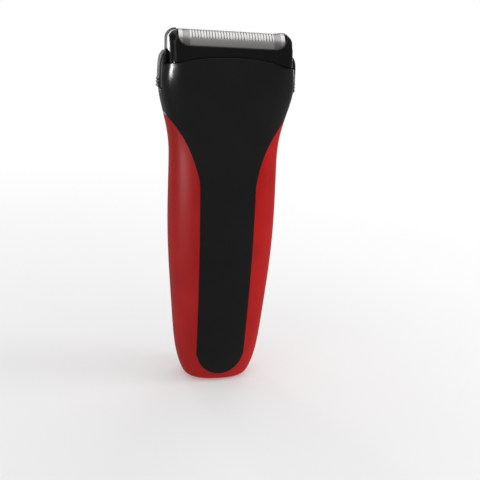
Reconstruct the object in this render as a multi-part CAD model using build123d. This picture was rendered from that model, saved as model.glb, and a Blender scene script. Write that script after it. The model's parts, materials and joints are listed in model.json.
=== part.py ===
from build123d import *

import math
import os

# Cordless foil shaver: a waisted grip of two red shells, inlaid black panels on the plain back (-Y) and
# the button side (+Y), a flared head block, and a lift-off cassette with two floating foils and a middle
# trimmer. Inside are a battery, a circuit board, a flat motor, and an eccentric that swings the cutters
# along X.
# Frame: +Z runs up the grip to the foils, the origin is the centre of the flat base. Units are millimetres.

# ---- driving dimensions: outer skin ----
RECESS = 1.2                  # depth of the recess that the black panels lie in
PANEL_T = 1.15                # thickness of the inlaid black panels
WALL_T = 2.4                  # full thickness of the red shells
BASE_FILLET = 4.5             # rounding where the sides meet the flat base
SEAM_GAP = 0.06               # half the hairline between the two red shells
INLAY_GAP = 0.12              # hairline round the inlaid panels
OUTLINE_POINTS = 16           # points on each superellipse section

# height, half width, half depth, centre in Y, squareness of each section of the grip and head
SECTIONS = [
    (0, 14.6, 11.8, 0.0, 2.3),
    (6, 17.5, 13.4, 0.0, 2.4),
    (16, 19.8, 14.9, 0.0, 2.5),
    (38, 21.9, 17.1, -0.1, 2.6),
    (72, 24.1, 18.3, -0.2, 2.6),
    (98, 24.2, 17.0, 0.3, 2.6),
    (112, 24.6, 15.7, 0.7, 2.7),
    (124, 27.1, 15.7, 0.4, 2.8),
    (135, 29.4, 16.3, 0.0, 3.1),
    (145, 28.9, 16.6, 0.0, 3.2),
    (151, 28.2, 16.5, 0.0, 3.2),
]

# ---- driving dimensions: black inlay outline, seen along Y ----
TONGUE_TIP_Z = 4.4
TONGUE_TOP_Z = 92.0
TONGUE_HALF_LOW = 11.0        # half width above the rounded tip
TONGUE_HALF_HIGH = 12.1
TONGUE_TIP_RISE = 12.1        # height of the rounded tip
FLARE = [(13.5, 101.0), (18.1, 112.6), (27.6, 124.8), (36.0, 133.0)]
FAR = 40.0                    # beyond every outline

# ---- driving dimensions: head ----
HEAD_SPLIT_Z = 113.0          # the red shells' full wall ends and the head block's wall begins
CROWN_Z = 148.3               # top of the arched parting line at the middle
CROWN_R = 96.3                # radius of that arch
PARTING_GAP = 0.15
DECK_LOW_Z = 142.5
DECK_Z = 144.5                # top of the deck that the cassette drops onto
FOIL_Y = 6.6                  # each foil's axis is this far from the middle
FOIL_Z = 153.7
FOIL_R = 5.2                  # outer radius of the foil's arch
FOIL_T = 0.2
FOIL_HALF = 22.4              # half length of the foil
FOIL_LEG_Z = 150.6
STROKE = 1.2                  # half the cutters' swing

# ---- driving dimensions: cutters and trimmer ----
BLADE_R = FOIL_R - FOIL_T - 0.12
BLADE_FOOT_Z = 153.0
BLADE_COUNT = 25
BLADE_PITCH = 1.5
BLADE_T = 0.4
COMB_SLOTS = 28
COMB_PITCH = 1.3

# ---- driving dimensions: release buttons ----
POCKET_X = 24.4               # floor of the pocket that a button lies in
POCKET_HALF_Y = 7.5
POCKET_Z = 134.0
RELEASE_IN_X = 26.8           # inner face of a button
RELEASE_TOP_Z = 150.1
RIB_ROWS_Z = (135.2, 136.5, 137.8)

# ---- driving dimensions: cassette frame ----
CAP_HALF = 26.6               # half length over the end caps
CAP_TOP_Z = 159.4
SHOULDER_R = 4.3              # rounding of the end caps seen along Y
WINDOW_HALF = 22.9
WINDOW_Z = 152.5
WINDOW_R = 4.8
CAVITY_HALF_X = 23.6
CAVITY_HALF_Y = 12.15
SKIRT_HALF_X = 25.8
SKIRT_HALF_Y = 13.7
SKIRT_Z = 144.9
SHELF_IN = 20.8
SHELF_LOW_Z = 146.0
SHELF_Z = 147.2

# ---- driving dimensions: drive and inside ----
SHAFT_R = 1.0
SHAFT_GAP = 0.04
CRANK_PIN_R = 1.0
BUSH_R = 1.8
PIN_R = 1.2
TRIMMER_PIN_R = 0.65
PIN_TOP_Z = 150.2
BRIDGE_LOW_Z = 138.0
BRIDGE_Z = 140.4
CAN_LOW_Z = 99.5
CAN_Z = 124.5
BRACKET_T = 2.0
BULKHEAD_Z = 127.0            # underside of the bulkhead that the motor hangs from
BATTERY_R = 7.0
BATTERY_LOW_Z = 36.5
BATTERY_LENGTH = 50.0
BATTERY_Y = -2.4
TRAY_LOW_Z = 28.0
TRAY_Z = 124.2
TRAY_HALF = 12.0
TRAY_WALL = 1.2
TRAY_BACK_Y = -9.6
BOARD_Y = 8.0
BOARD_T = 1.2
BUTTON_Z = 80.0
BUTTON_R = 6.35
RING_R = 8.0
LENS_R = 1.1
LENS_ROWS_Z = (56.0, 51.0)
SCREW_X = 7.5
SCREW_ROWS_Z = (24.0, 91.6)
BRACKET_SCREW_X = 14.5
SOCKET_DEPTH = 12.0
SOCKET_X = 4.0                # the socket's round ends are centred this far from the middle
SOCKET_R = 5.2
MOUTH_X = 2.4
MOUTH_R = 3.3
MOUTH_DEPTH = 9.0
FLANGE_GROW = 0.9             # how far the socket's flange stands out from its body
GASKET_Z = 3.0                # top of the flat gasket under the socket's flange
FLANGE_Z = 4.4
CONTACT_X = 3.9
CONTACT_R = 0.8               # the plug's side of a contact pin
CONTACT_SHANK_R = 1.0         # where a pin passes through the socket's floor
CONTACT_LOW_Z = 2.4
CONTACT_Z = 15.0


# ---- shared shapes ----
def superellipse(z, a, b, centre_y, power):
    points = []
    for k in range(OUTLINE_POINTS):
        angle = 2 * math.pi * k / OUTLINE_POINTS
        x = a * math.copysign(abs(math.cos(angle)) ** (2 / power), math.cos(angle))
        y = b * math.copysign(abs(math.sin(angle)) ** (2 / power), math.sin(angle))
        points.append(Vector(x, centre_y + y, z))
    steps = list(range(OUTLINE_POINTS + 1))
    return Face(Wire([Edge.make_spline(points, periodic=True, parameters=steps)]))


def skin(inset):
    """The solid grip and head, all of its surface moved inwards by inset."""
    rows = [superellipse(z, a - inset, b - inset, y, n) for z, a, b, y, n in SECTIONS]
    solid = loft(rows)
    if inset > 0:
        solid = solid & above(inset)
    if inset >= 0:
        rim = solid.edges().sort_by(Axis.Z)[0]
        solid = fillet([rim], BASE_FILLET - inset)
    return solid


def block(x0, x1, y0, y1, z0, z1):
    return Pos((x0 + x1) / 2, (y0 + y1) / 2, (z0 + z1) / 2) * Box(x1 - x0, y1 - y0, z1 - z0)


def above(z):
    return block(-FAR, FAR, -FAR, FAR, z, z + 5 * FAR)


def below(z):
    return block(-FAR, FAR, -FAR, FAR, z - 5 * FAR, z)


def upright(radius, z0, z1, x=0.0, y=0.0):
    return Pos(x, y, (z0 + z1) / 2) * Cylinder(radius, z1 - z0)


def along_y(radius, y0, y1, x, z):
    return Pos(x, (y0 + y1) / 2, z) * Rot(90, 0, 0) * Cylinder(radius, y1 - y0)


def along_x(radius, x0, x1, y, z):
    return Pos((x0 + x1) / 2, y, z) * Rot(0, 90, 0) * Cylinder(radius, x1 - x0)


def plate_xz(outline, y0, y1):
    """An outline drawn in X and Z, given thickness along Y."""
    face = Face(outline)
    return Pos(0, y0, 0) * extrude(face, amount=y1 - y0, dir=(0, 1, 0))


def inlay_region(grow):
    """Everything inside the black outline seen along Y: the tongue, its flare and the whole head."""
    low = TONGUE_HALF_LOW + grow
    high = TONGUE_HALF_HIGH + grow
    tip = TONGUE_TIP_Z + TONGUE_TIP_RISE
    flare = [Vector(high, 0, TONGUE_TOP_Z)] + [Vector(x + 0.7 * grow, 0, z - 0.7 * grow) for x, z in FLARE]
    right = Edge.make_spline(flare, tangents=[Vector(0, 0, 1), Vector(1, 0, 1)])
    end = flare[-1]
    arc = [(low * math.cos(t), tip - (TONGUE_TIP_RISE + grow) * math.sin(t))
           for t in (math.pi * k / 12 for k in range(13))]
    points = [Vector(x, 0, z) for x, z in arc]
    tongue = Edge.make_spline(points, tangents=[Vector(0, 0, -1), Vector(0, 0, 1)])
    mirrored = [Vector(-p.X, 0, p.Z) for p in reversed(flare)]
    left = Edge.make_spline(mirrored, tangents=[Vector(1, 0, -1), Vector(0, 0, -1)])
    top = 4 * FAR
    edges = [
        tongue,
        Edge.make_line(Vector(-low, 0, tip), mirrored[-1]),
        left,
        Edge.make_line(mirrored[0], Vector(-end.X, 0, top)),
        Edge.make_line(Vector(-end.X, 0, top), Vector(end.X, 0, top)),
        Edge.make_line(Vector(end.X, 0, top), end),
        right,
        Edge.make_line(flare[0], Vector(low, 0, tip)),
    ]
    return plate_xz(Wire(edges), -FAR, FAR)


def crown(gap):
    """Everything under the arched parting line between the head block and the cassette."""
    arch = along_y(CROWN_R + gap, -FAR, FAR, 0, CROWN_Z - CROWN_R)
    return arch & above(0)


def coil(radius, wire, x, y, z0, z1, turns):
    """An upright compression spring between two heights."""
    low = z0 + wire
    high = z1 - wire
    path = Helix(pitch=(high - low) / turns, height=high - low, radius=radius)
    section = Plane(origin=path @ 0, z_dir=path % 0) * Circle(wire)
    return Pos(x, y, low) * sweep(section, path, is_frenet=True)


def group(*solids):
    """Several separate solids that share one node."""
    return Compound(children=list(solids))


def mirror_y(shape):
    return mirror(shape, about=Plane.XZ)


def mirror_x(shape):
    return mirror(shape, about=Plane.YZ)


# ---- outer skin ----
OUTER = skin(0)
UNDER = skin(RECESS)
INNER = skin(WALL_T)
BLACK = inlay_region(0)
BLACK_WIDE = inlay_region(INLAY_GAP)
RECESS_BAND = OUTER - UNDER
PANEL_BAND = OUTER - skin(PANEL_T)


def side(sign, gap):
    """The half space on one side of the seam plane: sign is -1 for the back and 1 for the button side."""
    if sign < 0:
        return block(-FAR, FAR, -FAR, -gap, -FAR, 5 * FAR)
    return block(-FAR, FAR, gap, FAR, -FAR, 5 * FAR)


def stadium(half_x, radius, z0, z1):
    """An upright prism with two round ends whose centres are at half_x on either side."""
    ends = upright(radius, z0, z1, x=-half_x) + upright(radius, z0, z1, x=half_x)
    return ends + block(-half_x, half_x, -radius, radius, z0, z1)


def socket_body(grow):
    return stadium(SOCKET_X, SOCKET_R + grow, -1, SOCKET_DEPTH)


def red_shell(sign):
    half = side(sign, SEAM_GAP)
    lower = (OUTER - INNER) & below(HEAD_SPLIT_Z)
    tips = PANEL_BAND & above(HEAD_SPLIT_Z) & below(FLARE[-1][1])
    inlay = (RECESS_BAND & BLACK_WIDE) & above(1.0)
    shell = ((lower + tips) & half) - inlay
    shell = shell - socket_body(0.05)
    return shell


def rear_shell():
    shell = red_shell(-1)
    wall_y = -11.0
    for x in (-SCREW_X, SCREW_X):
        for z in SCREW_ROWS_Z:
            post = along_y(3.0, -FAR, -1.2, x, z) & UNDER
            shell = shell + (post & side(-1, 0))
    for x in (-SCREW_X, SCREW_X):
        for z in SCREW_ROWS_Z:
            shell = shell - along_y(2.5, -FAR, wall_y, x, z)
            shell = shell - along_y(1.3, -FAR, 1.0, x, z)
    return shell


def front_shell():
    shell = red_shell(1)
    for x in (-SCREW_X, SCREW_X):
        for z in SCREW_ROWS_Z:
            post = along_y(3.0, -1.0, FAR, x, z) & UNDER
            shell = shell + post
    for x in (-SCREW_X, SCREW_X):
        for z in SCREW_ROWS_Z:
            shell = shell - along_y(1.25, -2.0, 9.2, x, z)
    shell = shell - along_y(BUTTON_R + 0.15, 10, FAR, 0, BUTTON_Z)
    for z in LENS_ROWS_Z:
        shell = shell - along_y(LENS_R + 0.05, 10, FAR, 0, z)
    return shell


def release_pockets():
    right = block(POCKET_X, FAR, -POCKET_HALF_Y, POCKET_HALF_Y, POCKET_Z, 5 * FAR)
    return right + mirror_x(right)


def panel(sign):
    plate = PANEL_BAND & BLACK & side(sign, SEAM_GAP) & above(TONGUE_TIP_Z - 1) & crown(0)
    return plate - release_pockets()


def rear_panel():
    return panel(-1)


def front_panel():
    plate = panel(1)
    plate = plate - along_y(RING_R + 0.05, 5, FAR, 0, BUTTON_Z)
    for z in LENS_ROWS_Z:
        plate = plate - along_y(LENS_R + 0.05, 5, FAR, 0, z)
    return plate


def head_housing():
    wall = (UNDER - INNER) & above(HEAD_SPLIT_Z) & crown(0)
    deck = UNDER & above(DECK_LOW_Z) & below(DECK_Z)
    bulkhead = UNDER & above(BULKHEAD_Z) & below(BULKHEAD_Z + 1.6)
    cheek = block(23.0, FAR, -POCKET_HALF_Y - 1.2, POCKET_HALF_Y + 1.2, POCKET_Z - 1.4, DECK_Z)
    cheeks = UNDER & (cheek + mirror_x(cheek))
    housing = wall + deck + bulkhead + cheeks
    housing = housing - release_pockets()
    housing = housing - block(-13.0, 13.0, -7.5, 7.5, 120, 130)
    housing = housing - block(-3.8, 3.8, -9.0, 9.0, 140, 150)
    for x in (-BRACKET_SCREW_X, BRACKET_SCREW_X):
        housing = housing - upright(0.9, 120, BULKHEAD_Z + 1.2, x=x)
    return housing


def bulkhead_gasket():
    gasket = block(-16.5, 16.5, -8.8, 8.8, CAN_Z + BRACKET_T, BULKHEAD_Z)
    gasket = gasket - block(-13.0, 13.0, -7.5, 7.5, 120, 130)
    for x in (-BRACKET_SCREW_X, BRACKET_SCREW_X):
        gasket = gasket - upright(1.1, 120, 130, x=x)
    return gasket


def housing_screws():
    screws = []
    for x in (-SCREW_X, SCREW_X):
        for z in SCREW_ROWS_Z:
            head = along_y(2.3, -12.6, -11.0, x, z)
            shank = along_y(1.2, -11.0, 8.0, x, z)
            cross = along_y(0.9, -13.0, -12.0, x, z)
            screws.append(head + shank - cross)
    return group(*screws)


# ---- base ----
def charging_socket():
    body = socket_body(0) & above(0)
    body = body + stadium(SOCKET_X, SOCKET_R + FLANGE_GROW, GASKET_Z, FLANGE_Z)
    body = body - stadium(MOUTH_X, MOUTH_R, -1, MOUTH_DEPTH)
    for x in (-CONTACT_X, CONTACT_X):
        body = body - upright(CONTACT_SHANK_R, 5, 20, x=x)
    return body


def socket_gasket():
    return stadium(SOCKET_X, SOCKET_R + FLANGE_GROW, WALL_T, GASKET_Z) - socket_body(0.05)


def contact_pins():
    pins = []
    for x in (-CONTACT_X, CONTACT_X):
        tip = upright(CONTACT_R, CONTACT_LOW_Z, MOUTH_DEPTH, x=x)
        pins.append(tip + upright(CONTACT_SHANK_R, MOUTH_DEPTH, CONTACT_Z, x=x))
    return group(*pins)


# ---- chassis, battery and board ----
def inner_frame():
    back = block(-TRAY_HALF, TRAY_HALF, TRAY_BACK_Y - TRAY_WALL, TRAY_BACK_Y, TRAY_LOW_Z, TRAY_Z)
    frame = back
    for sign in (-1, 1):
        inner = sign * (TRAY_HALF - TRAY_WALL)
        outer = sign * TRAY_HALF
        low, high = min(inner, outer), max(inner, outer)
        frame = frame + block(low, high, TRAY_BACK_Y, BOARD_Y, TRAY_LOW_Z, TRAY_Z)
    for z0, z1 in ((TRAY_LOW_Z, 29.6), (86.9, 88.2)):
        frame = frame + block(-TRAY_HALF, TRAY_HALF, TRAY_BACK_Y, 7.0, z0, z1)
    for z in (48.0, 75.0):
        rib = block(-TRAY_HALF, TRAY_HALF, TRAY_BACK_Y, 1.0, z, z + 1.6)
        frame = frame + rib
    top = BATTERY_LOW_Z + BATTERY_LENGTH
    frame = frame - upright(BATTERY_R + 0.1, BATTERY_LOW_Z - 0.5, top + 0.5, y=BATTERY_Y)
    for x in (-SCREW_X, SCREW_X):
        frame = frame - along_y(3.2, -FAR, 0, x, SCREW_ROWS_Z[1])
    return frame


def battery():
    top = BATTERY_LOW_Z + BATTERY_LENGTH
    cell = upright(BATTERY_R, BATTERY_LOW_Z, top - 1.0, y=BATTERY_Y)
    cell = fillet(cell.edges().filter_by(GeomType.CIRCLE), 0.5)
    return cell + upright(2.6, top - 1.2, top, y=BATTERY_Y)


def battery_tabs():
    top = BATTERY_LOW_Z + BATTERY_LENGTH
    low = block(-3, 3, BATTERY_Y - 2, BOARD_Y, BATTERY_LOW_Z - 0.3, BATTERY_LOW_Z)
    high = block(-3, 3, BATTERY_Y - 2, BOARD_Y, top, top + 0.3)
    return group(low, high)


def circuit_board():
    board = block(-TRAY_HALF + 0.1, TRAY_HALF - 0.1, BOARD_Y, BOARD_Y + BOARD_T, 30.0, 88.2)
    for x in (-10.0, 10.0):
        for z in (33.0, 85.6):
            board = board - along_y(0.8, 5, 12, x, z)
    return board


def board_components():
    y = BOARD_Y + BOARD_T
    parts = [
        block(-2.5, 2.5, y, y + 1.0, 64.0, 69.0),
        block(-8.5, -5.5, y, y + 1.2, 60.0, 64.0),
        block(5.0, 9.0, y, y + 2.0, 40.0, 44.0),
        block(-9.0, -4.0, y, y + 2.4, 40.0, 45.0),
        block(4.5, 6.5, y, y + 0.8, 62.0, 65.0),
        block(6.0, 8.0, y, y + 0.8, 70.0, 73.0),
    ]
    for z in LENS_ROWS_Z:
        parts.append(block(-0.9, 0.9, y, y + 0.7, z - 0.9, z + 0.9))
    return group(*parts)


def tact_switch():
    y = BOARD_Y + BOARD_T
    body = block(-3.0, 3.0, y, y + 3.0, BUTTON_Z - 3.0, BUTTON_Z + 3.0)
    return body - along_y(1.75, y + 1.2, y + 4, 0, BUTTON_Z)


def switch_plunger():
    return along_y(1.6, 11.1, 13.5, 0, BUTTON_Z)


def power_button():
    proud = loft([superellipse(z, a + 0.45, b + 0.45, y, n) for z, a, b, y, n in SECTIONS])
    stem = proud & along_y(BUTTON_R, 13.6, FAR, 0, BUTTON_Z)
    rim = stem.edges().sort_by(Axis.Y)[-1]
    stem = fillet([rim], 0.5)
    flange = along_y(7.5, 13.5, 14.7, 0, BUTTON_Z)
    return stem + flange


def button_ring():
    proud = loft([superellipse(z, a + 0.3, b + 0.3, y, n) for z, a, b, y, n in SECTIONS])
    ring = proud & (along_y(RING_R, 10, FAR, 0, BUTTON_Z) - along_y(BUTTON_R + 0.15, 5, FAR, 0, BUTTON_Z))
    return ring - UNDER


def indicator_lenses():
    lenses = []
    for z in LENS_ROWS_Z:
        lenses.append(OUTER & along_y(LENS_R, BOARD_Y + BOARD_T + 0.9, FAR, 0, z))
    return group(*lenses)


# ---- motor and drive ----
def can_profile(half_x, half_y, z0, z1):
    return upright(half_x, z0, z1) & block(-half_x, half_x, -half_y, half_y, z0, z1)


def motor_can():
    can = can_profile(10.0, 7.5, CAN_LOW_Z, CAN_Z)
    can = can - can_profile(9.2, 6.7, CAN_LOW_Z - 1, CAN_Z - 1.0)
    can = can - upright(2.5, CAN_Z - 2, CAN_Z + 1)
    for x in (-6.5, 6.5):
        can = can - upright(0.85, CAN_Z - 2, CAN_Z + 1, x=x)
    return can


def motor_end_bell():
    bell = can_profile(9.9, 7.4, CAN_LOW_Z - 2.4, CAN_LOW_Z)
    bell = bell + can_profile(9.15, 6.65, CAN_LOW_Z, CAN_LOW_Z + 0.8)
    bell = bell - upright(2.5, CAN_LOW_Z - 3, CAN_LOW_Z + 2)
    for x in (-6.0, 6.0):
        bell = bell - block(x - 1.0, x + 1.0, -0.2, 0.2, CAN_LOW_Z - 3, CAN_LOW_Z + 2)
    return bell


def motor_terminals():
    tabs = []
    for x in (-6.0, 6.0):
        tabs.append(block(x - 1.0, x + 1.0, -0.2, 0.2, CAN_LOW_Z - 4.2, CAN_LOW_Z + 0.8))
    return group(*tabs)


def motor_bushes():
    hole = SHAFT_R + SHAFT_GAP
    top = upright(2.5, CAN_Z - 1.0, CAN_Z + 1.4) - upright(hole, CAN_Z - 2, CAN_Z + 2)
    low = upright(2.5, CAN_LOW_Z - 2.4, CAN_LOW_Z) - upright(hole, CAN_LOW_Z - 3, CAN_LOW_Z + 1)
    return group(top, low)


def motor_magnets():
    ring = upright(6.6, 104.5, 119.5) - upright(5.6, 104, 120)
    right = ring & block(2.6, 8, -8, 8, 104, 120)
    return group(right, mirror_x(right))


def armature():
    core = upright(2.2, 101.0, 121.0)
    for k in range(3):
        turn = Rot(0, 0, 120 * k)
        core = core + turn * block(0, 4.4, -0.9, 0.9, 106.0, 118.0)
        shoe = (upright(5.2, 106, 118) - upright(4.2, 105, 119)) & block(2.0, 6, -3.2, 3.2, 106, 118)
        core = core + turn * shoe
    return core - upright(SHAFT_R, 100, 122)


def motor_shaft():
    return upright(SHAFT_R, CAN_LOW_Z - 2.2, 131.0)


def eccentric_cam():
    hub = upright(3.0, 127.6, 131.0)
    weight = upright(5.4, 128.0, 130.6) & block(-6, 0, -6, 6, 128, 131)
    cam = hub + weight + upright(3.0, 131.0, 131.8)
    cam = cam - upright(SHAFT_R, 120, 131.0)
    return cam - upright(CRANK_PIN_R, 131.0, 140, x=STROKE)


def crank_pin():
    return upright(CRANK_PIN_R, 131.0, 137.4, x=STROKE)


def crank_bush():
    return upright(BUSH_R, 132.6, 136.8, x=STROKE) - upright(CRANK_PIN_R, 132, 138, x=STROKE)


def motor_bracket():
    plate = block(-16.5, 16.5, -8.8, 8.8, CAN_Z, CAN_Z + BRACKET_T)
    plate = plate - upright(2.55, 120, 130)
    for x in (-6.5, 6.5):
        plate = plate - upright(1.05, 120, 130, x=x)
    for x in (-BRACKET_SCREW_X, BRACKET_SCREW_X):
        plate = plate - upright(1.1, 120, 130, x=x)
    return plate


def motor_screws():
    screws = []
    for x in (-6.5, 6.5):
        top = CAN_Z + BRACKET_T
        screws.append(upright(0.8, CAN_Z - 2.2, top, x=x) + upright(1.6, top, top + 1.0, x=x))
    return group(*screws)


def bracket_screws():
    screws = []
    for x in (-BRACKET_SCREW_X, BRACKET_SCREW_X):
        screws.append(upright(0.85, CAN_Z, BULKHEAD_Z + 1.0, x=x) + upright(1.7, CAN_Z - 1.2, CAN_Z, x=x))
    return group(*screws)


def drive_bridge():
    slot = 2 * STROKE + BUSH_R + 0.3
    yoke = block(-slot - 2.0, slot + 2.0, -4.5, 4.5, 133.0, BRIDGE_LOW_Z)
    yoke = yoke - block(-slot, slot, -6, 6, 130, BRIDGE_LOW_Z)
    plate = block(-11.8, 11.8, -8.6, 8.6, BRIDGE_LOW_Z, BRIDGE_Z)
    bridge = yoke + plate
    for y in (-FOIL_Y, FOIL_Y):
        bridge = bridge + upright(1.9, BRIDGE_Z, 143.6, y=y)
        bridge = bridge - upright(PIN_R, 138.8, 150, y=y)
    bridge = bridge + upright(1.5, BRIDGE_Z, 143.6)
    return bridge - upright(TRIMMER_PIN_R, 138.8, 150)


def drive_pins():
    pins = [upright(PIN_R, 138.8, PIN_TOP_Z, y=y) for y in (-FOIL_Y, FOIL_Y)]
    pins.append(upright(TRIMMER_PIN_R, 138.8, PIN_TOP_Z))
    return group(*pins)


def bridge_flexures():
    """Leaf springs that carry the bridge, clamped to the motor bracket."""
    right = block(11.85, 12.15, -4.0, 4.0, CAN_Z + BRACKET_T, BRIDGE_Z)
    return group(right, mirror_x(right))


def drive_seal():
    seal = block(-5.6, 5.6, -10.6, 10.6, DECK_Z, DECK_Z + 0.5)
    for y in (-FOIL_Y, FOIL_Y):
        seal = seal + Pos(0, y, DECK_Z + 1.0) * Cone(2.6, 1.7, 1.2)
        seal = seal - upright(PIN_R, 140, 150, y=y)
    seal = seal + Pos(0, 0, DECK_Z + 1.0) * Cone(2.0, 1.2, 1.2)
    return seal - upright(TRIMMER_PIN_R, 140, 150)


# ---- release buttons ----
def release_button():
    """The button on the +X side, with three grip ribs at its foot."""
    low, high = POCKET_Z + 0.2, RELEASE_TOP_Z
    face = Wire([
        Edge.make_line(Vector(RELEASE_IN_X, 0, low), Vector(29.5, 0, low)),
        Edge.make_spline([Vector(29.5, 0, low), Vector(30.1, 0, 140.0), Vector(29.6, 0, 145.0),
                          Vector(28.6, 0, 148.2), Vector(27.2, 0, high)]),
        Edge.make_line(Vector(27.2, 0, high), Vector(RELEASE_IN_X, 0, high)),
        Edge.make_line(Vector(RELEASE_IN_X, 0, high), Vector(RELEASE_IN_X, 0, low)),
    ])
    half = POCKET_HALF_Y - 0.2
    body = plate_xz(face, -half, half)
    body = body & Pos(5.1, 0, 142) * Cylinder(25.0, 20)
    for z in RIB_ROWS_Z:
        body = body + along_y(0.45, -4.6, 4.6, 29.75, z)
    return body


def release_spring():
    """A short spring along X between the pocket floor and the button."""
    spring = coil(1.7, 0.22, 0, 0, 0, RELEASE_IN_X - POCKET_X, 2.5)
    return Pos(POCKET_X, 0, 140.5) * Rot(0, 90, 0) * spring


# ---- cassette ----
def cap_arch():
    """The cassette's outline seen along X: sloping walls under a broad, nearly flat arch."""
    half = [(16.3, 143.0), (15.9, 148.2), (13.5, 152.6), (13.2, 154.8), (12.3, 157.2), (10.4, 158.7),
            (7.4, 159.3)]
    foot, knee, spring_line = half[0], half[1], half[2]
    arch = [Vector(0, y, z) for y, z in half[2:]] + [Vector(0, 0, CAP_TOP_Z)]
    arch += [Vector(0, -y, z) for y, z in reversed(half[2:])]
    edges = [
        Edge.make_line(Vector(0, -foot[0], foot[1]), Vector(0, foot[0], foot[1])),
        Edge.make_line(Vector(0, foot[0], foot[1]), Vector(0, knee[0], knee[1])),
        Edge.make_line(Vector(0, knee[0], knee[1]), Vector(0, spring_line[0], spring_line[1])),
        Edge.make_spline(arch),
        Edge.make_line(Vector(0, -spring_line[0], spring_line[1]), Vector(0, -knee[0], knee[1])),
        Edge.make_line(Vector(0, -knee[0], knee[1]), Vector(0, -foot[0], foot[1])),
    ]
    return Pos(-FAR, 0, 0) * extrude(Face(Wire(edges)), amount=2 * FAR, dir=(1, 0, 0))


def shoulders():
    """The cassette's outline seen along Y: upright ends with broad rounded shoulders."""
    slab = block(-CAP_HALF, CAP_HALF, -FAR, FAR, 140, CAP_TOP_Z)
    return fillet(slab.edges().filter_by(Axis.Y).group_by(Axis.Z)[-1], SHOULDER_R)


def window_cut():
    height = 2 * WINDOW_R + 20
    hole = Pos(0, 0, WINDOW_Z + height / 2) * Box(2 * WINDOW_HALF, 2 * FAR, height)
    corners = hole.edges().filter_by(Axis.Y).group_by(Axis.Z)[0]
    return fillet(corners, WINDOW_R)


def foil_tunnels():
    tunnel = block(-CAVITY_HALF_X, CAVITY_HALF_X, -CAVITY_HALF_Y, CAVITY_HALF_Y, 140, FOIL_Z)
    for y in (-FOIL_Y, FOIL_Y):
        tunnel = tunnel + along_x(FOIL_R + 0.25, -WINDOW_HALF, WINDOW_HALF, y, FOIL_Z)
    return tunnel + block(-WINDOW_HALF, WINDOW_HALF, -2.0, 2.0, FOIL_Z, CAP_TOP_Z + 1)


def cassette_frame():
    plan = block(-CAP_HALF, CAP_HALF, -16.4, 16.4, 143, 162)
    plan = fillet(plan.edges().filter_by(Axis.Z), 4.5)
    outer = (plan & cap_arch() & shoulders()) - crown(PARTING_GAP)
    skirt = extrude(superellipse(SKIRT_Z, SKIRT_HALF_X, SKIRT_HALF_Y, 0, 3.2), amount=5.0, dir=(0, 0, 1))
    frame = (outer + skirt) - window_cut() - foil_tunnels()
    notch = block(25.0, FAR, -7.9, 7.9, 140, 150.4)
    frame = frame - notch - mirror_x(notch)
    shelf = block(SHELF_IN, CAVITY_HALF_X, -CAVITY_HALF_Y, CAVITY_HALF_Y, SHELF_LOW_Z, SHELF_Z)
    return frame + shelf + mirror_x(shelf)


def arch_sheet(outer, inner, half, leg_z):
    """A thin arch along X, centred on the foil axis at y = 0, with straight legs."""
    sheet = along_x(outer, -half, half, 0, FOIL_Z) - along_x(inner, -half - 1, half + 1, 0, FOIL_Z)
    sheet = sheet & above(FOIL_Z)
    leg = block(-half, half, inner, outer, leg_z, FOIL_Z)
    return sheet + leg + mirror_y(leg)


def foil(sign):
    return Pos(0, sign * FOIL_Y, 0) * arch_sheet(FOIL_R, FOIL_R - FOIL_T, FOIL_HALF, FOIL_LEG_Z)


def foil_carrier(sign):
    """End blocks that hold the foil's ends, joined by two rails inside its legs."""
    inner = FOIL_R - FOIL_T - 0.02
    rail = block(-20.5, 20.5, 4.2, inner, 149.9, 151.6)
    end = block(20.3, 23.3, -inner, inner, SHELF_Z + 3.0, FOIL_Z - 0.2)
    end = end + (along_x(inner, 20.3, FOIL_HALF, 0, FOIL_Z) & above(FOIL_Z - 0.3))
    return Pos(0, sign * FOIL_Y, 0) * (rail + mirror_y(rail) + end + mirror_x(end))


def cutter_blades(sign):
    """A row of thin arched blades under the foil."""
    ring = along_x(BLADE_R, -BLADE_T / 2, BLADE_T / 2, 0, FOIL_Z) - along_x(3.5, -1, 1, 0, FOIL_Z)
    blade = ring & above(BLADE_FOOT_Z)
    blades = []
    for k in range(BLADE_COUNT):
        x = (k - (BLADE_COUNT - 1) / 2) * BLADE_PITCH
        blades.append(Pos(x, sign * FOIL_Y, 0) * blade)
    return group(*blades)


def cutter_holder(sign):
    body = block(-18.8, 18.8, -4.7, 4.7, 151.8, BLADE_FOOT_Z) + block(-18.8, 18.8, -3.7, 3.7, 149.0, 151.8)
    body = body - upright(PIN_R + 0.08, 148, 152.4)
    return Pos(0, sign * FOIL_Y, 0) * body


def trimmer_comb():
    comb = block(-22.4, 22.4, -1.15, 1.15, 153.6, 158.4)
    comb = comb - block(-19.4, 19.4, -0.8, 0.8, 150, 157.9)
    for k in range(COMB_SLOTS):
        x = (k - (COMB_SLOTS - 1) / 2) * COMB_PITCH
        comb = comb - block(x - 0.3, x + 0.3, -2, 2, 156.2, 160)
    return comb


def trimmer_carrier():
    end = block(19.6, 23.3, -1.15, 1.15, SHELF_Z + 3.0, 153.5)
    end = end + block(19.6, 22.4, -1.15, 1.15, 153.4, 153.6)
    strip = block(-19.8, 19.8, 0.85, 1.15, 152.6, 153.6)
    return end + mirror_x(end) + strip + mirror_y(strip)


def trimmer_blade():
    blade = block(-17.9, 17.9, -0.65, 0.65, 152.0, 157.7)
    for k in range(COMB_SLOTS - 1):
        x = (k - (COMB_SLOTS - 2) / 2) * COMB_PITCH
        blade = blade - block(x - 0.35, x + 0.35, -2, 2, 156.2, 160)
    boss = block(-2.4, 2.4, -1.2, 1.2, 148.8, 152.3)
    return blade + boss - upright(TRIMMER_PIN_R + 0.08, 148, 152.2)


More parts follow.
